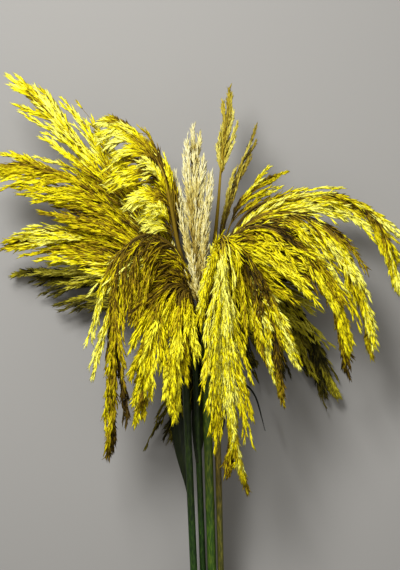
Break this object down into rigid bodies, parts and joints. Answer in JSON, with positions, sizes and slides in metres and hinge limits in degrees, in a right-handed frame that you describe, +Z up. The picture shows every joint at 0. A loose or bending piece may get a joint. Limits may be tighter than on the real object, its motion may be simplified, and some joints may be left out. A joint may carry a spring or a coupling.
{
  "type": "bundle of pampas grass",
  "caption": "Bunch of dried, dyed-yellow pampas grass lying on its side: straight cut stems that fan out into long, drooping, feathery plumes, with a few leaf blades.",
  "frame": {"origin": "on the surface that the bundle lies on, under the middle of its box", "axes": "+Y from the cut ends to the plumes, +X to the right seen from above, +Z up from the surface"},
  "size_m": [0.4502, 0.758, 0.2173],
  "materials": {
    "plume_yellow": "matt, dry, dyed lemon yellow with olive and brown shadows",
    "plume_pale": "matt, dry, pale cream",
    "plume_brown": "matt, dry, brownish straw",
    "stem": "satin, green to straw, with fine fibres along it",
    "leaf": "matt, dark green, ribbed along its length"
  },
  "bodies": {
    "root": {"stem_thin_spike": "stem", "stem_fingers": "stem", "stem_brown_upright": "stem", "stem_pale_upright": "stem", "stem_front": "stem", "stem_front_left": "stem", "stem_front_middle": "stem", "stem_front_right": "stem", "stem_left_curl": "stem", "stem_left_high": "stem", "stem_left_reach": "stem", "stem_left_low": "stem", "stem_left_hanging": "stem", "stem_right_inner": "stem", "stem_right_outer": "stem", "stem_right_arch": "stem", "stem_back": "stem", "stem_left_back": "stem", "stem_right_back": "stem", "leaf_left": "leaf", "leaf_right": "leaf", "leaf_inner": "leaf", "plume_thin_spike": "plume_brown", "plume_fingers": "plume_yellow", "plume_brown_upright": "plume_brown", "plume_pale_upright": "plume_pale", "plume_front": "plume_yellow", "plume_front_left": "plume_yellow", "plume_front_middle": "plume_yellow", "plume_front_right": "plume_yellow", "plume_left_curl": "plume_yellow", "plume_left_high": "plume_yellow", "plume_left_reach": "plume_yellow", "plume_left_low": "plume_yellow", "plume_left_hanging": "plume_yellow", "plume_right_inner": "plume_yellow", "plume_right_outer": "plume_yellow", "plume_right_arch": "plume_yellow", "plume_back": "plume_yellow", "plume_left_back": "plume_yellow", "plume_right_back": "plume_yellow"}
  },
  "joints": []
}
